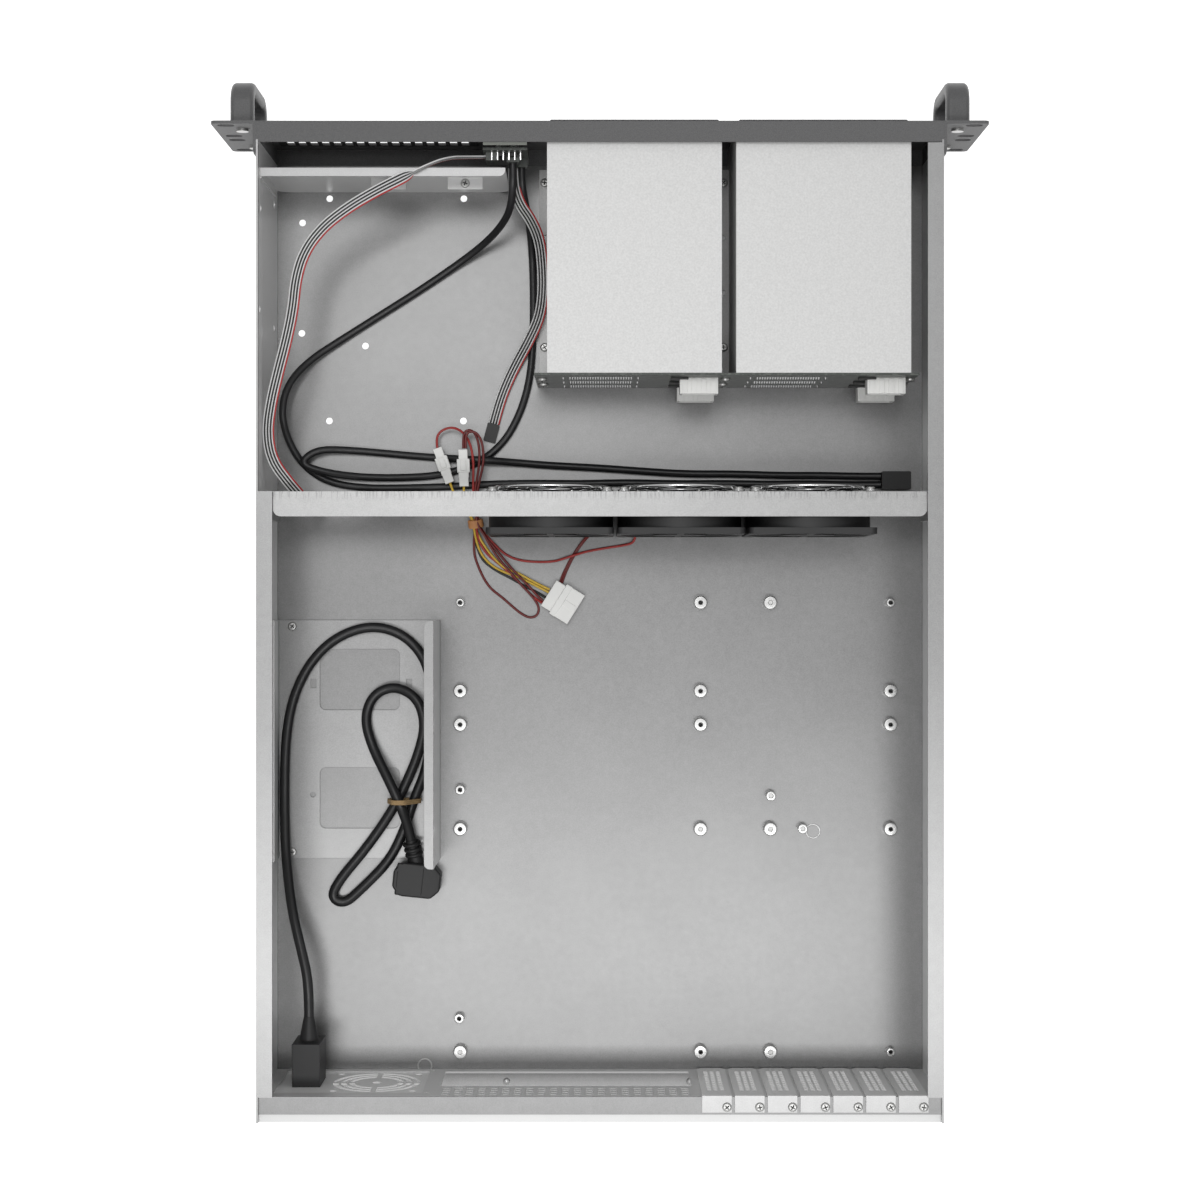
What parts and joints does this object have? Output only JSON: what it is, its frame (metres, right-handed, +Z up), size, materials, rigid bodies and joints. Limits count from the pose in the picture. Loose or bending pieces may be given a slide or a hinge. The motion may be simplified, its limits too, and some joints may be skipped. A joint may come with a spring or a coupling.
{
  "type": "empty rackmount server case",
  "caption": "Open 19-inch rackmount server case with hot-swap drive cages, carriers with levers, fan wall, supply shelf, controls and loose internal leads.",
  "frame": {"origin": "under the middle of the case, handles included, on its base", "axes": "+Z up, front panel faces -Y, +X to the right of someone facing the front"},
  "size_m": [0.4826, 0.65, 0.088],
  "materials": {
    "galvanised_steel": "galvanised, fine grain",
    "cage_steel": "zinc plated, even satin",
    "charcoal_paint": "fine textured paint",
    "black_mesh": "matte black",
    "handle_finish": "satin",
    "cover_steel": "zinc plated",
    "zinc_screws": "zinc plated",
    "brass_standoffs": "nickel plated",
    "chrome_wire": "bright",
    "black_plastic": "moulded",
    "lever_plastic": "moulded",
    "circuit_board": "solder mask",
    "white_nylon": "moulded nylon",
    "usb_shell": "plated",
    "light_lens": "clear",
    "rubber_band": "natural rubber",
    "black_cable": "smooth PVC",
    "striped_ribbon": "black and white wires",
    "red_wire": "PVC wires"
  },
  "bodies": {
    "chassis": {"backplane_left": "circuit_board", "backplane_middle": "circuit_board", "base_tray": "galvanised_steel", "board_power_lead": "red_wire", "board_power_sockets": "white_nylon", "board_standoffs": "brass_standoffs", "control_board": "circuit_board", "drive_cage_left": "cage_steel", "drive_cage_middle": "cage_steel", "drive_sockets": "black_plastic", "ear_left": "charcoal_paint", "ear_right": "charcoal_paint", "fan_connectors": "white_nylon", "fan_frame_1": "black_plastic", "fan_frame_2": "black_plastic", "fan_frame_3": "black_plastic", "fan_guards": "chrome_wire", "fan_lead": "red_wire", "fan_screws": "zinc_screws", "fan_wall": "galvanised_steel", "front_bracket": "galvanised_steel", "front_panel": "charcoal_paint", "handle_left": "handle_finish", "handle_right": "handle_finish", "handle_screws": "zinc_screws", "header_plugs": "black_plastic", "indicator_lights": "light_lens", "lead_band": "rubber_band", "light_ribbon": "striped_ribbon", "power_connector": "white_nylon", "power_inlet": "black_plastic", "power_lead": "black_cable", "power_plug": "black_plastic", "rear_panel": "galvanised_steel", "sheet_screws": "zinc_screws", "slot_covers": "cover_steel", "supply_end_plate": "galvanised_steel", "supply_shelf": "galvanised_steel", "switch_ribbon": "striped_ribbon", "usb_lead_1": "black_cable", "usb_lead_2": "black_cable", "usb_sockets": "usb_shell", "vent_grille": "black_mesh"},
    "carrier_1": {"carrier_1": "black_plastic"},
    "carrier_2": {"carrier_2": "black_plastic"},
    "carrier_3": {"carrier_3": "black_plastic"},
    "carrier_4": {"carrier_4": "black_plastic"},
    "carrier_5": {"carrier_5": "black_plastic"},
    "carrier_6": {"carrier_6": "black_plastic"},
    "carrier_lever_1": {"carrier_lever_1": "lever_plastic"},
    "carrier_lever_2": {"carrier_lever_2": "lever_plastic"},
    "carrier_lever_3": {"carrier_lever_3": "lever_plastic"},
    "carrier_lever_4": {"carrier_lever_4": "lever_plastic"},
    "carrier_lever_5": {"carrier_lever_5": "lever_plastic"},
    "carrier_lever_6": {"carrier_lever_6": "lever_plastic"},
    "fan_rotor_1": {"fan_rotor_1": "black_plastic"},
    "fan_rotor_2": {"fan_rotor_2": "black_plastic"},
    "fan_rotor_3": {"fan_rotor_3": "black_plastic"},
    "power_button": {"power_button": "black_plastic"},
    "reset_button": {"reset_button": "black_plastic"}
  },
  "joints": [
    {"name": "carrier_1_slide", "type": "slide", "parent": "chassis", "child": "carrier_1", "axis": [0, -1, 0], "range_m": [0, 0.14]},
    {"name": "carrier_2_slide", "type": "slide", "parent": "chassis", "child": "carrier_2", "axis": [0, -1, 0], "range_m": [0, 0.14]},
    {"name": "carrier_3_slide", "type": "slide", "parent": "chassis", "child": "carrier_3", "axis": [0, -1, 0], "range_m": [0, 0.14]},
    {"name": "carrier_4_slide", "type": "slide", "parent": "chassis", "child": "carrier_4", "axis": [0, -1, 0], "range_m": [0, 0.14]},
    {"name": "carrier_5_slide", "type": "slide", "parent": "chassis", "child": "carrier_5", "axis": [0, -1, 0], "range_m": [0, 0.14]},
    {"name": "carrier_6_slide", "type": "slide", "parent": "chassis", "child": "carrier_6", "axis": [0, -1, 0], "range_m": [0, 0.14]},
    {"name": "carrier_lever_1_hinge", "type": "hinge", "parent": "carrier_1", "child": "carrier_lever_1", "pos_m": [-0.1849, -0.2957, 0.01527], "axis": [0, 0, -1], "range_deg": [0, 70]},
    {"name": "carrier_lever_2_hinge", "type": "hinge", "parent": "carrier_2", "child": "carrier_lever_2", "pos_m": [-0.1849, -0.2957, 0.0422], "axis": [0, 0, -1], "range_deg": [0, 70]},
    {"name": "carrier_lever_3_hinge", "type": "hinge", "parent": "carrier_3", "child": "carrier_lever_3", "pos_m": [-0.1849, -0.2957, 0.06913], "axis": [0, 0, -1], "range_deg": [0, 70]},
    {"name": "carrier_lever_4_hinge", "type": "hinge", "parent": "carrier_4", "child": "carrier_lever_4", "pos_m": [-0.0674, -0.2957, 0.01527], "axis": [0, 0, -1], "range_deg": [0, 70]},
    {"name": "carrier_lever_5_hinge", "type": "hinge", "parent": "carrier_5", "child": "carrier_lever_5", "pos_m": [-0.0674, -0.2957, 0.0422], "axis": [0, 0, -1], "range_deg": [0, 70]},
    {"name": "carrier_lever_6_hinge", "type": "hinge", "parent": "carrier_6", "child": "carrier_lever_6", "pos_m": [-0.0674, -0.2957, 0.06913], "axis": [0, 0, -1], "range_deg": [0, 70]},
    {"name": "fan_1_spin", "type": "hinge", "parent": "chassis", "child": "fan_rotor_1", "pos_m": [0.0313, -0.05, 0.043], "axis": [0, 1, 0], "continuous": true},
    {"name": "fan_2_spin", "type": "hinge", "parent": "chassis", "child": "fan_rotor_2", "pos_m": [-0.0507, -0.05, 0.043], "axis": [0, 1, 0], "continuous": true},
    {"name": "fan_3_spin", "type": "hinge", "parent": "chassis", "child": "fan_rotor_3", "pos_m": [-0.1327, -0.05, 0.043], "axis": [0, 1, 0], "continuous": true},
    {"name": "power_button_press", "type": "slide", "parent": "chassis", "child": "power_button", "axis": [0, 1, 0], "range_m": [0, 0.0012], "stiffness_N_per_m": 400, "springref_m": -0.0004},
    {"name": "reset_button_press", "type": "slide", "parent": "chassis", "child": "reset_button", "axis": [0, 1, 0], "range_m": [0, 0.0012], "stiffness_N_per_m": 300, "springref_m": -0.0004}
  ]
}
